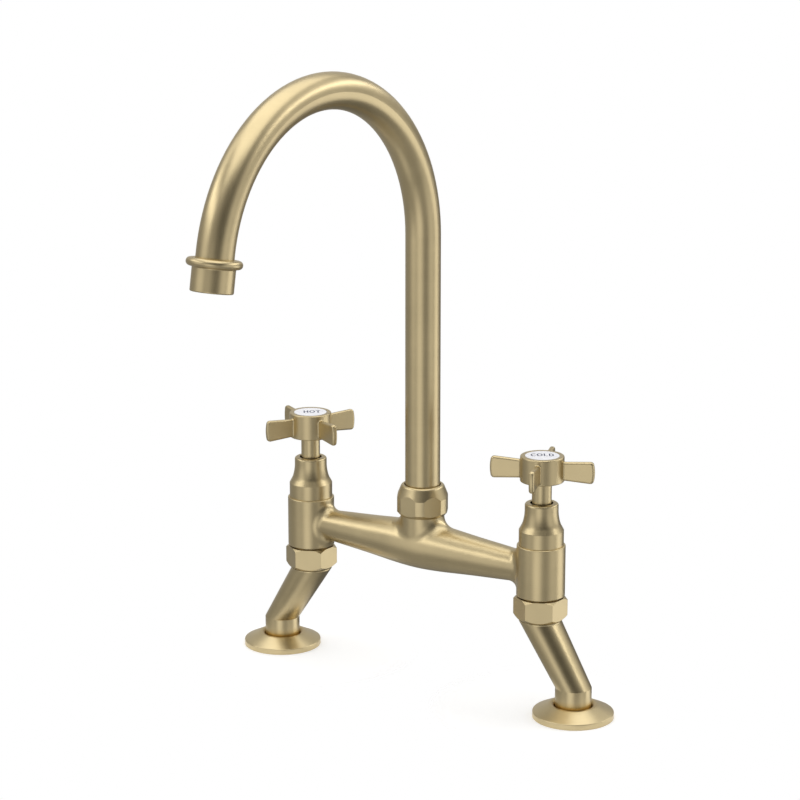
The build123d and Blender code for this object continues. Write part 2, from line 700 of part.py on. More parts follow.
# ---------------------------------------------------------------- handles
def spoke():
    """One flat tapering arm, with a bowed end and rounded edges, lying along +X."""
    mid = HUB_Z + SPOKE_MID
    corner_x = SPOKE_TIP - SPOKE_BOW
    slope = (SPOKE_TIP_H - SPOKE_ROOT_H) / (corner_x - HUB_R)
    root_x = STEM_R
    root_half = (SPOKE_ROOT_H - slope * (HUB_R - root_x)) / 2
    tip_half = SPOKE_TIP_H / 2
    upper = (corner_x, mid + tip_half)
    lower = (corner_x, mid - tip_half)
    flanks = Polyline(upper, (root_x, mid + root_half), (root_x, mid - root_half), lower)
    end = ThreePointArc(lower, (SPOKE_TIP, mid), upper)
    blade = make_face([flanks, end])
    for corner in (upper, lower):
        blade = fillet(blade.vertices().sort_by_distance(corner)[0], SPOKE_CORNER)
    arm = extrude(Plane.XZ * blade, SPOKE_T / 2, both=True)
    sides = arm.faces().filter_by(Axis.Y)
    rim = sides.edges().filter_by(lambda edge: edge.center().X > root_x + SPOKE_EDGE)
    return fillet(rim, SPOKE_EDGE)


def handle():
    """Crosshead: hub, four spokes and the stem that hides the spindle."""
    top = (HUB_R, HUB_TOP_Z)
    bottom = (HUB_R, HUB_Z)
    outline = [(0, STEM_Z), (STEM_R, STEM_Z), (STEM_R, HUB_Z), bottom, top, (0, HUB_TOP_Z)]
    cross = turned(outline, [(top, HUB_TOP_ROUND), (bottom, HUB_BOTTOM_ROUND)])
    arm = spoke()
    for index in range(SPOKES):
        placed_arm = Rot(0, 0, SPOKE_ANGLE + index * 360 / SPOKES) * arm
        cross = blended(cross, placed_arm, SPOKE_BLEND)
    head_r = SCREW_HEAD_R + SEAM
    seat_z = SOCKET_TOP_Z + SCREW_HEAD_H
    cross -= rod(INDEX_R + INDEX_FIT, INDEX_Z, HUB_TOP_Z + OVERCUT)
    cross -= rod(head_r, seat_z, INDEX_Z + OVERCUT)
    cross -= rod(SCREW_R + SEAM, SOCKET_TOP_Z - OVERCUT, seat_z + OVERCUT)
    cross -= rod(SPINDLE_R + RING_FIT, STEM_Z - OVERCUT, SPLINE_Z)
    return cross - spline_bar(SPINDLE_R + RING_FIT, SPLINE_Z - OVERCUT, SOCKET_TOP_Z)


def index_disc():
    """Enamelled disc with a slight crown, pressed into the hub."""
    top = INDEX_Z + INDEX_T
    crown_r = (INDEX_R**2 + INDEX_CROWN**2) / (2 * INDEX_CROWN)
    return rod(INDEX_R, INDEX_Z, top) & Pos(0, 0, top - crown_r) * Sphere(crown_r)


def handle_screw():
    """Cap screw that draws the handle down on the spindle."""
    seat_z = SOCKET_TOP_Z + SCREW_HEAD_H
    top = seat_z + SCREW_HEAD_H
    screw = rod(SCREW_R, seat_z - SCREW_L, seat_z) + rod(SCREW_HEAD_R, seat_z, top)
    return screw - hexagon(SCREW_KEY_AF, top - SCREW_KEY_D, top + OVERCUT)


# ---------------------------------------------------------------- union nut and leg
def union_nut():
    """Hexagon nut that clamps the leg to the valve body."""
    corner_r = UNION_AF / sqrt(3)
    thread_r = UNION_THREAD_R + SCREW_FIT
    neck_r = LEG_NECK_R + RUN_FIT
    envelope = turned(
        [
            (neck_r, UNION_Z),
            (UNION_BOTTOM_R, UNION_Z),
            (corner_r, UNION_Z + UNION_BOTTOM_CHAMFER_H),
            (corner_r, UNION_TOP_Z - UNION_TOP_CHAMFER_H),
            (UNION_TOP_R, UNION_TOP_Z),
            (thread_r, UNION_TOP_Z),
            (thread_r, UNION_LIP_Z),
            (neck_r, UNION_LIP_Z),
        ]
    )
    return envelope & hexagon(UNION_AF, UNION_Z, UNION_TOP_Z)


def union_washer():
    """Fibre washer between the leg's neck and the body's spigot."""
    return tube(UNION_WASHER_OUT_R, INLET_R, LEG_NECK_Z, SPIGOT_Z)


def snap_ring():
    """Split ring on the leg's neck that the union nut pulls against."""
    inner = LEG_NECK_R - SNAP_RING_DEPTH + RING_FIT
    return split_ring(SNAP_RING_OUT_R, inner, UNION_LIP_Z + RING_FIT, SNAP_RING_T, SNAP_RING_OPENING)


def leg():
    """Cranked leg: upright foot, leaning limb, rim and the neck inside the union nut."""
    groove_z = UNION_LIP_Z
    groove_h = SNAP_RING_T + 2 * RING_FIT
    foot_x = LEG_REACH
    casting = Pos(foot_x, 0, 0) * rod(LEG_FOOT_R, LEG_FOOT_Z, LEG_CREASE_Z)
    casting += leaning(foot_x, LEG_CREASE_Z, LEG_FOOT_R, 0, LEG_TOP_Z, LEG_TOP_R)
    casting += rod(LEG_TOP_R, LEG_TOP_Z, LEG_RIM_Z)
    casting += rod(LEG_NECK_R, LEG_RIM_Z, LEG_NECK_Z)
    casting -= tube(LEG_NECK_R + OVERCUT, LEG_NECK_R - SNAP_RING_DEPTH, groove_z, groove_z + groove_h)
    casting -= Pos(foot_x, 0, 0) * rod(LEG_BORE_R, LEG_FOOT_Z - OVERCUT, LEG_CREASE_Z)
    casting -= leaning(foot_x, LEG_CREASE_Z, LEG_BORE_R, 0, LEG_TOP_Z, LEG_BORE_R)
    casting -= rod(LEG_BORE_R, LEG_TOP_Z, LEG_NECK_Z + OVERCUT)
    socket = rod(TAIL_SPIGOT_R + SCREW_FIT, LEG_FOOT_Z - OVERCUT, LEG_FOOT_Z + TAIL_SPIGOT_H + SEAM)
    return casting - Pos(foot_x, 0, 0) * socket


def tail():
    """Threaded shank through the worktop, with a relief groove above its inlet thread."""
    spigot_z = LEG_FOOT_Z + TAIL_SPIGOT_H
    relief_z = TAIL_INLET_L - TAIL_LENGTH
    shank = turned(
        [
            (TAIL_BORE_R, -TAIL_LENGTH),
            (TAIL_THREAD_R - TAIL_END_CHAMFER, -TAIL_LENGTH),
            (TAIL_THREAD_R, -TAIL_LENGTH + TAIL_END_CHAMFER),
            (TAIL_THREAD_R, relief_z),
            (TAIL_RELIEF_R, relief_z),
            (TAIL_RELIEF_R, relief_z + TAIL_RELIEF_W),
            (TAIL_THREAD_R, relief_z + TAIL_RELIEF_W),
            (TAIL_THREAD_R, LEG_FOOT_Z),
            (TAIL_SPIGOT_R, LEG_FOOT_Z),
            (TAIL_SPIGOT_R, spigot_z),
            (TAIL_BORE_R, spigot_z),
        ]
    )
    return Pos(LEG_REACH, 0, 0) * shank


def flange():
    """Loose rose round the foot, with a rolled inner edge and a recess for its gasket."""
    bore_r = LEG_FOOT_R + FLANGE_FIT
    rim = (FLANGE_R, FLANGE_RIM_H)
    top = (bore_r, FLANGE_CONE_H)
    outline = [
        (bore_r, 0),
        (GASKET_IN_R - RING_FIT, 0),
        (GASKET_IN_R - RING_FIT, GASKET_T),
        (GASKET_OUT_R + RING_FIT, GASKET_T),
        (GASKET_OUT_R + RING_FIT, 0),
        (FLANGE_R, 0),
        rim,
        top,
    ]
    rose = turned(outline, [(rim, FLANGE_RIM_ROUND), (top, FLANGE_TOP_ROUND)])
    return Pos(LEG_REACH, 0, 0) * rose


def flange_gasket():
    """Rubber ring in the rose's recess, flush with the worktop."""
    return Pos(LEG_REACH, 0, 0) * tube(GASKET_OUT_R, GASKET_IN_R, 0, GASKET_T)


def tail_washer():
    """Thick rubber washer under the worktop."""
    inner = TAIL_THREAD_R + SEAM
    return Pos(LEG_REACH, 0, 0) * tube(TAIL_WASHER_R, inner, TAIL_WASHER_Z, -WORKTOP_T)


def backnut():
    """Flanged hexagon nut that pulls the tap down on the worktop."""
    thread_r = TAIL_THREAD_R + SCREW_FIT
    plate = tube(BACKNUT_FLANGE_R, thread_r, TAIL_WASHER_Z - BACKNUT_FLANGE_T, TAIL_WASHER_Z)
    nut = hexagon(BACKNUT_AF, BACKNUT_Z, TAIL_WASHER_Z - BACKNUT_FLANGE_T)
    nut -= rod(thread_r, BACKNUT_Z - OVERCUT, TAIL_WASHER_Z)
    return Pos(LEG_REACH, 0, 0) * (plate + nut)


# ---------------------------------------------------------------- output
CENTRE_PIECES = {
    "bridge_body": bridge_body,
    "column_nut": column_nut,
    "spout_ferrule": ferrule,
    "spout_o_rings": spout_o_rings,
    "spout_slip_ring": slip_ring,
    "spout_tube": spout_tube,
    "nozzle": nozzle,
    "aerator_seal": aerator_seal,
    "aerator_cage": aerator_cage,
    "aerator_insert": aerator_insert,
}

SIDE_PIECES = {
    "bonnet": bonnet,
    "cartridge_body": cartridge_body,
    "cartridge_o_ring": cartridge_o_ring,
    "seat_seal": seat_seal,
    "fixed_disc": fixed_disc,
    "moving_disc": moving_disc,
    "spindle": spindle,
    "spindle_o_ring": spindle_o_ring,
    "spindle_clip": spindle_clip,
    "handle": handle,
    "index_disc": index_disc,
    "handle_screw": handle_screw,
    "union_nut": union_nut,
    "union_washer": union_washer,
    "snap_ring": snap_ring,
    "leg": leg,
    "tail": tail,
    "flange": flange,
    "flange_gasket": flange_gasket,
    "tail_washer": tail_washer,
    "backnut": backnut,
}


def main():
    """Write every piece to its own file."""
    os.makedirs("parts", exist_ok=True)
    for name, make in CENTRE_PIECES.items():
        export_step(make(), f"parts/{name}.step")
    for name, make in SIDE_PIECES.items():
        cold = Pos(BODY_X, 0, 0) * make()
        export_step(cold, f"parts/cold_{name}.step")
        export_step(mirror(cold, about=Plane.YZ), f"parts/hot_{name}.step")


main()
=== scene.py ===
from math import cos, pi, radians, sin, sqrt

import bmesh
import bpy
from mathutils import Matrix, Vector


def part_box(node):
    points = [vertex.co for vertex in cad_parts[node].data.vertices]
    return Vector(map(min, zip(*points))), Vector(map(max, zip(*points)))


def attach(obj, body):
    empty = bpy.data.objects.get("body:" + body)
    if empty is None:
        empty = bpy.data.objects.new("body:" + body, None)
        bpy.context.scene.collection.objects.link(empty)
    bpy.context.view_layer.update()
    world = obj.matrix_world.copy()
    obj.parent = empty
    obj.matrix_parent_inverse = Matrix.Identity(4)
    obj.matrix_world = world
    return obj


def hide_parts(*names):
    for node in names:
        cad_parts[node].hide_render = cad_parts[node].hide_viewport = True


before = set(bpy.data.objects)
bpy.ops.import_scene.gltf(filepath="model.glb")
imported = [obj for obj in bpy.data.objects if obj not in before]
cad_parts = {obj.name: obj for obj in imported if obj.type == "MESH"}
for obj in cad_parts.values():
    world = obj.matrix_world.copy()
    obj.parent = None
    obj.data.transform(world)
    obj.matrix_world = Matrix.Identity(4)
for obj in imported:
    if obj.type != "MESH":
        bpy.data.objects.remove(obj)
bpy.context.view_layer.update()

# Bridge kitchen tap in satin brushed brass. Metres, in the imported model's own frame:
# X along the bridge with the hot valve at -X, the spout towards -Y, Z up, and the
# worktop at Z = 0. The metal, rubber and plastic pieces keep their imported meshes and
# get their finish here. The tails get real threads and the index discs their lettering.

MM = 0.001

# ---------------------------------------------------------------- camera
CAMERA_PLACE = Vector((0.9591, -1.3057, 0.5860))
CAMERA_AZIMUTH = radians(36.802)
CAMERA_PITCH = radians(13.961)
CAMERA_CLIP = 50
SENSOR = 36.0
PHOTO_SIDE = 800
FOCAL_PIXELS = 2676.2

# ---------------------------------------------------------------- studio
CENTRE = Vector((0.0, -0.05, 0.16))  # what the lamps point at
WALL_RADIUS = 2.6
WALL_SEGMENTS = 48
# WALL_LEVEL, WALL_GLOWS and LAMPS come from a numerical fit to the photo's brightness.
WALL_LEVEL = 0.36
WALL_LEAST = 0.02
WALL_GLOWS = (
    # name, azimuth, elevation, half angle, added level
    ("front fill", -20, -16, 27, 0.87),
    ("table in front", -44, -66, 22, 0.40),
    ("left back ceiling", -110, 43, 26, 0.85),
    ("right ceiling", 104, 34, 37, 0.45),
    ("back", -176, 12, 42, 0.23),
    ("right of the camera", 55, -5, 28, 0.57),
    ("left of the camera", -65, 2, 29, 0.57),
    ("unlit front", 20, 27, 40, -0.29),
    ("unlit back right", 140, -32, 57, -0.20),
)
LAMPS = (
    # name, azimuth, elevation, distance, width, height, level
    ("lamp_top", 180, 89, 1.7, 1.90, 2.85, 1.43),
    ("lamp_left", -75, 32, 2.2, 2.04, 0.55, 2.10),
    ("lamp_right", 107, 30, 2.2, 2.64, 0.39, 2.75),
    ("lamp_right_low", 101, -15, 2.2, 1.44, 1.18, 1.20),
)
WORLD_LEVEL = 0.5
WHITE = 1.0
FLOOR_RADIUS = 0.30
FLOOR_SOLID = 0.026  # from a foot's axis: full as far as this, and gone at the end
FLOOR_END = 0.052
FLOOR_COLOUR = 0.85
FLOOR_LIFT = 0.26  # brings the unshaded floor up to white, as the camera and mirrors see it
GROUND_RADIUS = 0.9
GROUND_DROP = 0.0005
DISC_SEGMENTS = 96


# ---------------------------------------------------------------- small helpers
def srgb(red, green, blue):
    """A colour given as 0-255 screen values, as a linear colour with alpha."""
    def linear(value):
        share = value / 255
        return share / 12.92 if share <= 0.04045 else ((share + 0.055) / 1.055) ** 2.4
    return (linear(red), linear(green), linear(blue), 1.0)


def grey(level):
    return (level, level, level, 1.0)


def shade(colour, factor):
    """A colour made lighter or darker, with alpha."""
    return tuple(min(1.0, channel * factor) for channel in colour) + (1.0,)


def studio_direction(azimuth, elevation):
    """Unit vector; azimuth 0 points from the tap to the camera, 90 to the camera's right."""
    side, lift = radians(azimuth), radians(elevation)
    towards = Vector((sin(CAMERA_AZIMUTH), -cos(CAMERA_AZIMUTH), 0))
    right = Vector((cos(CAMERA_AZIMUTH), sin(CAMERA_AZIMUTH), 0))
    flat = towards * cos(side) + right * sin(side)
    return flat * cos(lift) + Vector((0, 0, sin(lift)))


def middle(node):
    """Centre of a node's box."""
    low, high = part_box(node)
    return (low + high) / 2


class Graph:
    """A material's or world's node tree, with short calls that make and link nodes."""

    def __init__(self, owner):
        owner.use_nodes = True
        self.tree = owner.node_tree
        self.tree.nodes.clear()

    def node(self, kind, settings=None, **inputs):
        made = self.tree.nodes.new("ShaderNode" + kind)
        for name, value in (settings or {}).items():
            setattr(made, name, value)
        for name, value in inputs.items():
            self.feed(made.inputs[name.replace("_", " ")], value)
        return made

    def feed(self, socket, value):
        if isinstance(value, bpy.types.NodeSocket):
            self.tree.links.new(value, socket)
        else:
            socket.default_value = value

    def math(self, operation, first, second=0.0, third=0.0):
        made = self.tree.nodes.new("ShaderNodeMath")
        made.operation = operation
        for index, value in enumerate((first, second, third)):
            self.feed(made.inputs[index], value)
        return made.outputs[0]

    def vector(self, operation, first, second=(0, 0, 0)):
        made = self.tree.nodes.new("ShaderNodeVectorMath")
        made.operation = operation
        self.feed(made.inputs[0], first)
        self.feed(made.inputs[1], second)
        return made.outputs["Value" if operation in ("DOT_PRODUCT", "LENGTH") else "Vector"]

    def ramp(self, value, low, high, to_low=0.0, to_high=1.0):
        """Smooth step of value from low..high to to_low..to_high."""
        made = self.tree.nodes.new("ShaderNodeMapRange")
        made.interpolation_type = "SMOOTHSTEP"
        for index, entry in enumerate((value, low, high, to_low, to_high)):
            self.feed(made.inputs[index], entry)
        return made.outputs[0]

    def blend_colour(self, share, first, second):
        made = self.tree.nodes.new("ShaderNodeMix")
        made.data_type = "RGBA"
        self.feed(made.inputs["Factor"], share)
        self.feed(made.inputs[6], first)
        self.feed(made.inputs[7], second)
        return made.outputs[2]

    def clouded(self, clouds, dull, pale, low=0.3, high=0.7):
        """From dull to pale where the noise rises from low to high."""
        return self.blend_colour(self.ramp(clouds, low, high), dull, pale)

    def uneven(self, noise, spread, centre):
        """A value that the noise moves about its centre."""
        return self.math("MULTIPLY_ADD", noise, spread, centre - spread / 2)

    def noise(self, place, scale, detail=2.0, roughness=0.5):
        made = self.tree.nodes.new("ShaderNodeTexNoise")
        self.feed(made.inputs["Vector"], place)
        self.feed(made.inputs["Scale"], scale)
        self.feed(made.inputs["Detail"], detail)
        self.feed(made.inputs["Roughness"], roughness)
        return made.outputs["Fac"]

    def object_place(self):
        return self.node("TexCoord").outputs["Object"]

    def end(self, shader, kind="OutputMaterial"):
        output = self.tree.nodes.new("ShaderNode" + kind)
        self.tree.links.new(shader, output.inputs["Surface"])


def new_graph(name):
    material = bpy.data.materials.new(name)
    return material, Graph(material)


def from_upright_axis(graph, place, axis_x):
    """Distance of a place from the nearer of the two upright axes at X = -axis_x and axis_x."""
    across = graph.node("SeparateXYZ", Vector=place).outputs
    sideways = graph.math("SUBTRACT", graph.math("ABSOLUTE", across["X"]), axis_x)
    flat = graph.node("CombineXYZ", X=sideways, Y=across["Y"]).outputs[0]
    return graph.vector("LENGTH", flat)


# ---------------------------------------------------------------- brass
BRASS = (0.566, 0.463, 0.267)
BRASS_ROUGHNESS = 0.34
LEG_ROUGHNESS = 0.30
HANDLE_ROUGHNESS = 0.35
# The roses' brass is painted lighter than the rest: painted light, standing in for light the lamps
# don't bring to them.
ROSE_PAINTED_LIGHT = 1.08
BRUSH_FINE = 5200.0  # strokes per metre up the piece: the brushing goes round it
BRUSH_ALONG = 90.0
STROKE_SPAN = (0.3, 0.75)  # noise values where a stroke starts and is full
STROKE_SHARE = 0.35
STROKE_ROUGHNESS = 0.07
STROKE_RELIEF = 0.10
STROKE_DEPTH = 0.02 * MM
MOTTLE_SCALE = 55.0
MOTTLE = 0.045
MOTTLE_ROUGHNESS = 0.04
RUBBED = 1.10  # how much lighter rubbed metal is
EDGE_RADIUS = 0.2 * MM
EDGE_SAMPLES = 6
EDGE_TURN = (0.99, 0.85)  # cosine of the rounding's turn where wear starts and is full
EDGE_SHARE = 0.5
EDGE_GLOSS = 0.04
# Painted reflection and painted shade: a darker amber band where each collar meets its rose,
# standing in for the rose mirrored in the collar and the shade of the crease.
PAINTED_JOINT_REFLECTION = (0.53, 0.39, 0.17, 1.0)
PAINTED_JOINT_WIDTH = 5.0 * MM
COLLAR_RADIUS = 11.5 * MM


def brushed_place(graph):
    """Object coordinates squeezed so that noise makes strokes round the upright axis."""
    return graph.vector("MULTIPLY", graph.object_place(), (BRUSH_ALONG, BRUSH_ALONG, BRUSH_FINE))


def painted_joint_mask(graph, place):
    """1 at the ring where a leg's collar enters its rose, fading out over a few millimetres: the
    mask of the painted amber reflection and painted shade at that joint.
    """
    from_axis = from_upright_axis(graph, place, middle("cold_flange").x)
    height = graph.node("SeparateXYZ", Vector=place).outputs["Z"]
    outward = graph.math("SUBTRACT", from_axis, COLLAR_RADIUS)
    upward = graph.math("SUBTRACT", height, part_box("cold_flange")[1].z)
    section = graph.node("CombineXYZ", X=outward, Y=upward).outputs[0]
    return graph.ramp(graph.vector("LENGTH", section), PAINTED_JOINT_WIDTH, 0.0)


def brass(name, painted_light=1.0, roughness=BRASS_ROUGHNESS, joint_reflection_painted=False):
    """Satin brass, brushed round its upright axis and rubbed a little brighter at its edges."""
    material, graph = new_graph(name)
    place = graph.object_place()
    strokes = graph.noise(brushed_place(graph), 1.0, 3.0, 0.6)
    patches = graph.noise(place, MOTTLE_SCALE, 3.0, 0.55)
    rounded = graph.node("Bevel", {"samples": EDGE_SAMPLES}, Radius=EDGE_RADIUS).outputs["Normal"]
    flat = graph.node("NewGeometry").outputs["Normal"]
    worn = graph.ramp(graph.vector("DOT_PRODUCT", rounded, flat), *EDGE_TURN)
    # A factor above 1 paints the whole piece lighter: painted light, not a different brass.
    rubbed = shade(BRASS, painted_light * RUBBED)
    mottled = graph.clouded(
        patches, shade(BRASS, painted_light * (1 - MOTTLE)), shade(BRASS, painted_light * (1 + MOTTLE))
    )
    stroke_share = graph.math("MULTIPLY", graph.ramp(strokes, *STROKE_SPAN), STROKE_SHARE)
    streaked = graph.blend_colour(stroke_share, mottled, rubbed)
    colour = graph.blend_colour(graph.math("MULTIPLY", worn, EDGE_SHARE), streaked, rubbed)
    # Paints the amber reflection and the shade of the collar's joint with the rose into the colour.
    if joint_reflection_painted:
        colour = graph.blend_colour(painted_joint_mask(graph, place), colour, PAINTED_JOINT_REFLECTION)
    rough = graph.math(
        "ADD",
        graph.uneven(strokes, STROKE_ROUGHNESS, roughness),
        graph.uneven(patches, MOTTLE_ROUGHNESS, 0.0),
    )
    rough = graph.math("SUBTRACT", rough, graph.math("MULTIPLY", worn, EDGE_GLOSS))
    bump = graph.node(
        "Bump", Strength=STROKE_RELIEF, Distance=STROKE_DEPTH, Height=strokes, Normal=rounded
    )
    shader = graph.node(
        "BsdfPrincipled",
        Base_Color=colour,
        Metallic=1.0,
        Roughness=rough,
        Normal=bump.outputs[0],
    )
    graph.end(shader.outputs[0])
    return material


# ---------------------------------------------------------------- other finishes
def plain_metal(name, colour, roughness):
    """Machined, uncoated metal of the hidden pieces."""
    material, graph = new_graph(name)
    rings = graph.noise(brushed_place(graph), 1.0, 2.0)
    stains = graph.noise(graph.object_place(), 140.0, 4.0, 0.6)
    tint = graph.clouded(stains, shade(colour, 0.82), shade(colour, 1.12), low=0.35)
    bump = graph.node("Bump", Strength=0.25, Distance=0.03 * MM, Height=rings)
    shader = graph.node(
        "BsdfPrincipled",
        Base_Color=tint,
        Metallic=1.0,
        Roughness=graph.uneven(rings, 0.16, roughness),
        Normal=bump.outputs[0],
    )
    graph.end(shader.outputs[0])
    return material


def moulded(name, colour, roughness, grain, relief):
    """Rubber, nylon, fibre, ceramic or plastic: a grained, slightly uneven surface."""
    material, graph = new_graph(name)
    place = graph.object_place()
    speckle = graph.noise(place, grain, 4.0, 0.6)
    clouds = graph.noise(place, grain / 12, 2.0)
    tint = graph.clouded(clouds, shade(colour, 0.85), shade(colour, 1.15))
    bump = graph.node("Bump", Strength=relief, Distance=0.05 * MM, Height=speckle)
    shader = graph.node(
        "BsdfPrincipled",
        Base_Color=tint,
        Roughness=graph.uneven(speckle, 0.2, roughness),
        Normal=bump.outputs[0],
    )
    graph.end(shader.outputs[0])
    return material


def enamel(name, dull, pale):
    """Fired white enamel: faint blue, glossy, a little uneven."""
    material, graph = new_graph(name)
    place = graph.object_place()
    clouds = graph.noise(place, 160.0, 3.0)
    waves = graph.noise(place, 420.0, 1.0)
    bump = graph.node("Bump", Strength=0.06, Distance=0.1 * MM, Height=waves)
    shader = graph.node(
        "BsdfPrincipled",
        Base_Color=graph.clouded(clouds, dull, pale),
        Roughness=graph.uneven(clouds, 0.06, 0.23),
        Normal=bump.outputs[0],
    )
    graph.end(shader.outputs[0])
    return material


def lettering_ink(name, dull, pale):
    """Slate blue glaze of the words."""
    material, graph = new_graph(name)
    clouds = graph.noise(graph.object_place(), 900.0, 2.0)
    shader = graph.node(
        "BsdfPrincipled",
        Base_Color=graph.clouded(clouds, dull, pale),
        Roughness=graph.uneven(clouds, 0.1, 0.35),
    )
    graph.end(shader.outputs[0])
    return material


FINISHES = {
    "brushed_brass": brass("brushed_brass_turned"),
    "plain_brass": plain_metal("machined_brass", (0.62, 0.47, 0.21), 0.32),
    "stainless": plain_metal("stainless_steel", (0.55, 0.54, 0.52), 0.28),
    "black_rubber": moulded("black_rubber", (0.022, 0.022, 0.023), 0.62, 5000.0, 0.3),
    "nylon": moulded("white_nylon", (0.78, 0.77, 0.72), 0.42, 3000.0, 0.1),
    "grey_plastic": moulded("grey_acetal", (0.20, 0.20, 0.21), 0.45, 4000.0, 0.15),
    "ceramic": moulded("ceramic", (0.80, 0.78, 0.73), 0.18, 2500.0, 0.05),
    "white_enamel": enamel("white_enamel", srgb(238, 238, 243), srgb(245, 245, 249)),
    "red_fibre": moulded("red_fibre", (0.33, 0.05, 0.03), 0.75, 3500.0, 0.5),
}
OWN_BRASS = {
    # Legs and roses get the painted reflection and shade at the collar's joint; the roses' brass is
    # also painted lighter.
    "leg": brass("brushed_brass_leg", roughness=LEG_ROUGHNESS, joint_reflection_painted=True),
    "flange": brass("brushed_brass_rose", painted_light=ROSE_PAINTED_LIGHT, joint_reflection_painted=True),
    "handle": brass("brushed_brass_handle", roughness=HANDLE_ROUGHNESS),
}


def dress_nodes():
    """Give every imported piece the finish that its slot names, or a brass of its own."""
    for name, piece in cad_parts.items():
        slot = piece.data.materials[0].name.split(".")[0]
        kind = name.partition("_")[2]
        piece.data.materials[0] = OWN_BRASS.get(kind, FINISHES[slot])


def mesh_object(name, vertices, faces, material, smooth=True):
    mesh = bpy.data.meshes.new(name)
    mesh.from_pydata(vertices, [], faces)
    mesh.update()
    for polygon in mesh.polygons:
        polygon.use_smooth = smooth
    piece = bpy.data.objects.new(name, mesh)
    bpy.context.scene.collection.objects.link(piece)
    mesh.materials.append(material)
    return piece


# ---------------------------------------------------------------- lettering
DISC_CROWN = 0.15 * MM  # rise of the enamel disc's crown
LETTER_RISE = 0.03 * MM
LETTER_SINK = 0.05 * MM
LETTER_HEIGHT = 5.2 * MM
STROKE = 0.80 * MM
SERIF = 0.09  # half a serif; this and the gap are in units of the letters' own box
LETTER_GAP = 0.26
TOUCHING = 1e-9
WORDS = (
    # side, word, width, turn in degrees, shift from the disc's centre
    ("hot", "HOT", 10.6 * MM, 39, Vector((0.7 * MM, 0.7 * MM))),
    ("cold", "COLD", 13.6 * MM, 36, Vector((-0.6 * MM, 0.8 * MM))),
)


def arc_points(centre, radii, start, end, steps):
    """Points on an ellipse's arc, angles in degrees."""
    points = []
    for step in range(steps + 1):
        angle = radians(start + (end - start) * step / steps)
        points.append((centre[0] + radii[0] * cos(angle), centre[1] + radii[1] * sin(angle)))
    return points


def letter_strokes(letter):
    """Strokes of a letter in a box one unit high, and the letter's width."""
    if letter == "H":
        strokes = [[(0.1, 0), (0.1, 1)], [(0.75, 0), (0.75, 1)], [(0.1, 0.5), (0.75, 0.5)]]
        feet = [(0.1, 0), (0.1, 1), (0.75, 0), (0.75, 1)]
        strokes += [[(x - SERIF, y), (x + SERIF, y)] for x, y in feet]
        return strokes, 0.85
    if letter == "O":
        return [arc_points((0.46, 0.5), (0.42, 0.5), 0, 360, 28)], 0.92
    if letter == "T":
        strokes = [[(0.0, 1), (0.76, 1)], [(0.38, 0), (0.38, 1)]]
        strokes += [[(0.0, 1), (0.0, 1 - SERIF)], [(0.76, 1), (0.76, 1 - SERIF)]]
        strokes += [[(0.38 - SERIF, 0), (0.38 + SERIF, 0)]]
        return strokes, 0.76
    if letter == "C":
        return [arc_points((0.46, 0.5), (0.42, 0.5), 48, 312, 22)], 0.80
    if letter == "L":
        strokes = [[(0.12, 1), (0.12, 0), (0.62, 0), (0.62, SERIF)]]
        strokes += [[(0.12 - SERIF, 1), (0.12 + SERIF, 1)]]
        return strokes, 0.66
    stem = [(0.12, 0), (0.12, 1)]
    bowl = [(0.12, 1)] + arc_points((0.34, 0.5), (0.42, 0.5), 90, -90, 16) + [(0.12, 0)]
    return [stem, bowl], 0.80


def word_strokes(word, height, width):
    """Strokes of a whole word, centred, in metres."""
    placed, cursor = [], 0.0
    for letter in word:
        strokes, advance = letter_strokes(letter)
        placed += [[(cursor + x, y) for x, y in stroke] for stroke in strokes]
        cursor += advance + LETTER_GAP
    total = cursor - LETTER_GAP
    return [
        [((x / total - 0.5) * width, (y - 0.5) * height) for x, y in stroke] for stroke in placed
    ]


def ribbon(points, half_width):
    """Left and right edges of a stroke of even width."""
    left, right = [], []
    last = len(points) - 1
    closed = (Vector(points[0]) - Vector(points[last])).length < TOUCHING
    for index, (x, y) in enumerate(points):
        before = Vector(points[max(index - 1, 0)])
        after = Vector(points[min(index + 1, last)])
        if closed and index in (0, last):
            before, after = Vector(points[-2]), Vector(points[1])
        way = (after - before).normalized()
        side = Vector((-way.y, way.x)) * half_width
        left.append((x + side.x, y + side.y))
        right.append((x - side.x, y - side.y))
    return left, right


def stroke_faces(start, count):
    """Faces of a stroke of count points: top, left wall, right wall, bottom and two ends.

    The vertices run along the left edge and then the right, each point's top before its foot.
    """
    faces = []
    for index in range(count - 1):
        a = start + 2 * index
        b = start + 2 * (count + index)
        faces.append((b, b + 2, a + 2, a))
        faces.append((a + 1, a, a + 2, a + 3))
        faces.append((b, b + 1, b + 3, b + 2))
        faces.append((a + 1, a + 3, b + 3, b + 1))
    first_left, first_right = start, start + 2 * count
    last_left, last_right = first_right - 2, start + 4 * count - 2
    faces.append((first_left, first_left + 1, first_right + 1, first_right))
    faces.append((last_right, last_right + 1, last_left + 1, last_left))
    return faces


def lettering(name, disc, word, width, turn, shift, body, material):
    """Fired letters standing a hair proud of the crowned enamel."""
    low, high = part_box(disc)
    centre = (low + high) / 2
    radius = (high.x - low.x) / 2
    vertices, faces = [], []
    for stroke in word_strokes(word, LETTER_HEIGHT, width):
        faces += stroke_faces(len(vertices), len(stroke))
        for edge in ribbon(stroke, STROKE / 2):
            for x, y in edge:
                turned_x = x * cos(turn) - y * sin(turn) + shift.x
                turned_y = x * sin(turn) + y * cos(turn) + shift.y
                away = sqrt(turned_x**2 + turned_y**2) / radius
                surface = high.z - DISC_CROWN * away * away
                for z in (surface + LETTER_RISE, surface - LETTER_SINK):
                    vertices.append((centre.x + turned_x, centre.y + turned_y, z))
    piece = mesh_object(name, vertices, faces, material, smooth=False)
    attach(piece, body)


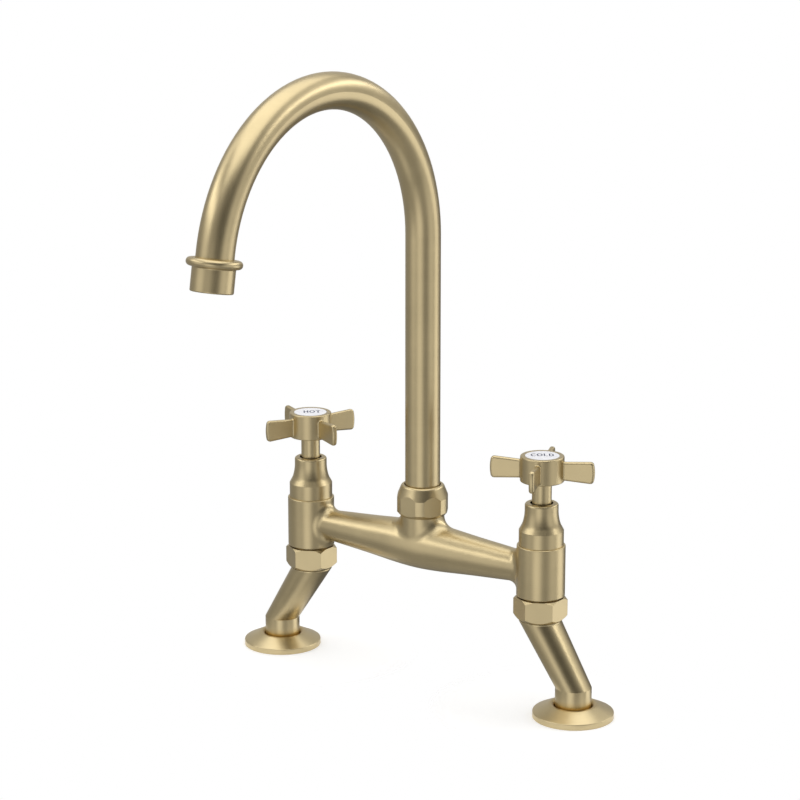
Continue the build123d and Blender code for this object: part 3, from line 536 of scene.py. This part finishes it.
def add_words():
    ink = lettering_ink("slate_glaze", srgb(34, 42, 72), srgb(50, 58, 90))
    for side, word, width, turn, shift in WORDS:
        lettering(f"{side}_index_letters", f"{side}_index_disc", word, width, radians(turn),
                  shift, f"{side}_valve", ink)


# ---------------------------------------------------------------- threaded tails
THREAD_PITCH = 25.4 * MM / 14  # half-inch pipe thread
THREAD_DEPTH = 1.162 * MM
THREAD_CREST = 0.14  # shares of the half pitch
THREAD_FLANK = 0.72
RINGS_PER_PITCH = 8
TAIL_SEGMENTS = 56
TAIL_BORE = 7.2 * MM
TAIL_SPIGOT = 9.0 * MM
TAIL_FOOT_Z = 2.0 * MM
TAIL_CHAMFER = 1.0 * MM
TAIL_RELIEF_Z = -42.0 * MM
TAIL_RELIEF_W = 2.0 * MM
TAIL_RELIEF_R = 9.4 * MM


def thread_radius(major, z, angle):
    """Radius of the threaded shank: rounded crests and roots, and the relief groove."""
    if TAIL_RELIEF_Z <= z <= TAIL_RELIEF_Z + TAIL_RELIEF_W:
        return TAIL_RELIEF_R
    phase = (z / THREAD_PITCH - angle / (2 * pi)) % 1.0
    wave = abs(2 * phase - 1)
    depth = min(1.0, max(0.0, (wave - THREAD_CREST) / THREAD_FLANK))
    return major - THREAD_DEPTH * depth


def tail_rings(low, high):
    """Rings of (radius, angle, z) up the thread, over the spigot and down the bore."""
    major = (high.x - low.x) / 2
    angles = [2 * pi * step / TAIL_SEGMENTS for step in range(TAIL_SEGMENTS)]
    levels = []
    z = low.z
    while z < TAIL_FOOT_Z:
        levels.append(z)
        z += THREAD_PITCH / RINGS_PER_PITCH
    levels.append(TAIL_FOOT_Z)
    rings = []
    for z in levels:
        most = major - TAIL_CHAMFER + max(0.0, z - low.z)
        rings.append([(min(thread_radius(major, z, angle), most), angle, z) for angle in angles])
    profile = [
        (TAIL_SPIGOT, TAIL_FOOT_Z),
        (TAIL_SPIGOT, high.z),
        (TAIL_BORE, high.z),
        (TAIL_BORE, low.z),
    ]
    for radius, z in profile:
        rings.append([(radius, angle, z) for angle in angles])
    return rings


def ring_faces(count):
    """Faces between rings that follow one another, the last joined to the first."""
    faces = []
    for index in range(count):
        here, onward = index * TAIL_SEGMENTS, (index + 1) % count * TAIL_SEGMENTS
        for step in range(TAIL_SEGMENTS):
            after = (step + 1) % TAIL_SEGMENTS
            faces.append((here + step, here + after, onward + after, onward + step))
    return faces


def threaded_tail(name, node, body, material):
    """The tail with its real helical thread, from the open end to the shoulder."""
    low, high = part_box(node)
    centre = (low + high) / 2
    rings = tail_rings(low, high)
    vertices = [
        (centre.x + radius * cos(angle), centre.y + radius * sin(angle), z)
        for ring in rings
        for radius, angle, z in ring
    ]
    piece = mesh_object(name, vertices, ring_faces(len(rings)), material)
    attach(piece, body)
    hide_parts(node)


def add_tails():
    finish = FINISHES["plain_brass"]
    for side in ("hot", "cold"):
        threaded_tail(f"{side}_tail_threaded", f"{side}_tail", f"{side}_foot", finish)


# ---------------------------------------------------------------- camera, world and lamps
def add_camera():
    camera = bpy.data.objects.new("camera", bpy.data.cameras.new("camera"))
    bpy.context.scene.collection.objects.link(camera)
    camera.data.sensor_width = SENSOR
    camera.data.lens = FOCAL_PIXELS * SENSOR / PHOTO_SIDE
    camera.data.clip_end = CAMERA_CLIP
    camera.location = CAMERA_PLACE
    camera.rotation_euler = (pi / 2 - CAMERA_PITCH, 0, CAMERA_AZIMUTH)
    bpy.context.scene.camera = camera


def softbox(name, azimuth, elevation, distance, width, height, level):
    """A rectangular lamp of even brightness that faces the tap."""
    data = bpy.data.lights.new(name, "AREA")
    data.shape = "RECTANGLE"
    data.size = width
    data.size_y = height
    data.energy = level * width * height * pi
    lamp = bpy.data.objects.new(name, data)
    bpy.context.scene.collection.objects.link(lamp)
    way = studio_direction(azimuth, elevation)
    lamp.location = CENTRE + way * distance
    lamp.rotation_euler = way.to_track_quat("Z", "Y").to_euler()
    lamp.visible_camera = False


def backdrop_rays(graph):
    """1 for camera, glossy and transmission rays, and 0 for the others."""
    rays = graph.node("LightPath").outputs
    seen = graph.math("MAXIMUM", rays["Is Camera Ray"], rays["Is Glossy Ray"])
    return graph.math("MAXIMUM", seen, rays["Is Transmission Ray"])


def add_world():
    """White for camera, glossy and transmission rays. Only the camera's get past the walls."""
    world = bpy.data.worlds.new("studio")
    bpy.context.scene.world = world
    graph = Graph(world)
    colour = graph.blend_colour(backdrop_rays(graph), grey(WORLD_LEVEL), grey(WHITE))
    graph.end(graph.node("Background", Color=colour, Strength=1.0).outputs[0], "OutputWorld")


# ---------------------------------------------------------------- stage
def stage_object(name, shape):
    """A piece of the stage, made from a bmesh that is freed here."""
    mesh = bpy.data.meshes.new(name)
    shape.to_mesh(mesh)
    shape.free()
    piece = bpy.data.objects.new(name, mesh)
    bpy.context.scene.collection.objects.link(piece)
    return piece


def stage_disc(name, radius, height):
    disc = bmesh.new()
    bmesh.ops.create_circle(disc, cap_ends=True, segments=DISC_SEGMENTS, radius=radius)
    bmesh.ops.translate(disc, verts=disc.verts, vec=(0, 0, height))
    return stage_object(name, disc)


def wall_level(graph, way):
    """The studio's base brightness plus soft round patches."""
    level = WALL_LEVEL
    for _, azimuth, elevation, spread, added in WALL_GLOWS:
        closeness = graph.vector("DOT_PRODUCT", way, tuple(studio_direction(azimuth, elevation)))
        patch = graph.ramp(closeness, cos(radians(spread)), 1.0, 0.0, added)
        level = graph.math("ADD", level, patch)
    return graph.math("MAXIMUM", level, WALL_LEAST)


def add_walls():
    """The dim studio round the tap, which the brass reflects, outside the camera's view."""
    shell = bmesh.new()
    bmesh.ops.create_uvsphere(
        shell, u_segments=WALL_SEGMENTS, v_segments=WALL_SEGMENTS // 2, radius=WALL_RADIUS
    )
    bmesh.ops.translate(shell, verts=shell.verts, vec=CENTRE)
    walls = stage_object("studio_walls", shell)
    walls.visible_camera = False
    material, graph = new_graph("studio_walls")
    place = graph.node("NewGeometry").outputs["Position"]
    way = graph.vector("NORMALIZE", graph.vector("SUBTRACT", place, tuple(CENTRE)))
    glow = graph.node("Emission", Strength=wall_level(graph, way))
    graph.end(glow.outputs[0])
    material.cycles.emission_sampling = "NONE"
    walls.data.materials.append(material)


def floor_cover(graph, place, axis_x, reach):
    """1 near the two axes at X = -axis_x and axis_x, fading to 0; reach widens both patches."""
    away = from_upright_axis(graph, place, axis_x)
    return graph.ramp(away, FLOOR_END + reach, FLOOR_SOLID + reach)


def add_floor():
    """A pale table top that fades into the white ground.

    The camera sees it wherever the swivelling legs can put a foot; the brass sees only
    the part round each foot at rest.
    """
    floor = stage_disc("floor", FLOOR_RADIUS, 0)
    material, graph = new_graph("pale_floor")
    place = graph.node("NewGeometry").outputs["Position"]
    camera_ray = graph.node("LightPath").outputs["Is Camera Ray"]
    valve_x = middle("cold_bonnet").x
    foot_x = middle("cold_flange").x
    seen = floor_cover(graph, place, valve_x, foot_x - valve_x)
    mirrored = floor_cover(graph, place, foot_x, 0.0)
    cover = graph.math(
        "ADD",
        graph.math("MULTIPLY", seen, camera_ray),
        graph.math("MULTIPLY", mirrored, graph.math("SUBTRACT", 1.0, camera_ray)),
    )
    cloth = graph.node("BsdfDiffuse", Color=grey(FLOOR_COLOUR))
    lift = graph.node("Emission", Strength=graph.math("MULTIPLY", backdrop_rays(graph), FLOOR_LIFT))
    lifted = graph.node("AddShader")
    graph.feed(lifted.inputs[0], cloth.outputs[0])
    graph.feed(lifted.inputs[1], lift.outputs[0])
    mix = graph.node("MixShader")
    graph.feed(mix.inputs[0], cover)
    graph.feed(mix.inputs[1], graph.node("BsdfTransparent").outputs[0])
    graph.feed(mix.inputs[2], lifted.outputs[0])
    graph.end(mix.outputs[0])
    material.cycles.emission_sampling = "NONE"
    floor.data.materials.append(material)


def add_ground():
    """The white ground of the picture, just under the floor: only the camera sees it."""
    ground = stage_disc("white_ground", GROUND_RADIUS, -GROUND_DROP)
    ground.visible_diffuse = False
    ground.visible_glossy = False
    ground.visible_transmission = False
    ground.visible_shadow = False
    material, graph = new_graph("white_ground")
    graph.end(graph.node("Emission", Color=grey(WHITE), Strength=1.0).outputs[0])
    material.cycles.emission_sampling = "NONE"
    ground.data.materials.append(material)


def main():
    dress_nodes()
    add_words()
    add_tails()
    add_camera()
    add_world()
    add_walls()
    add_floor()
    add_ground()
    for lamp in LAMPS:
        softbox(*lamp)
    bpy.context.scene.view_settings.view_transform = "Standard"


main()
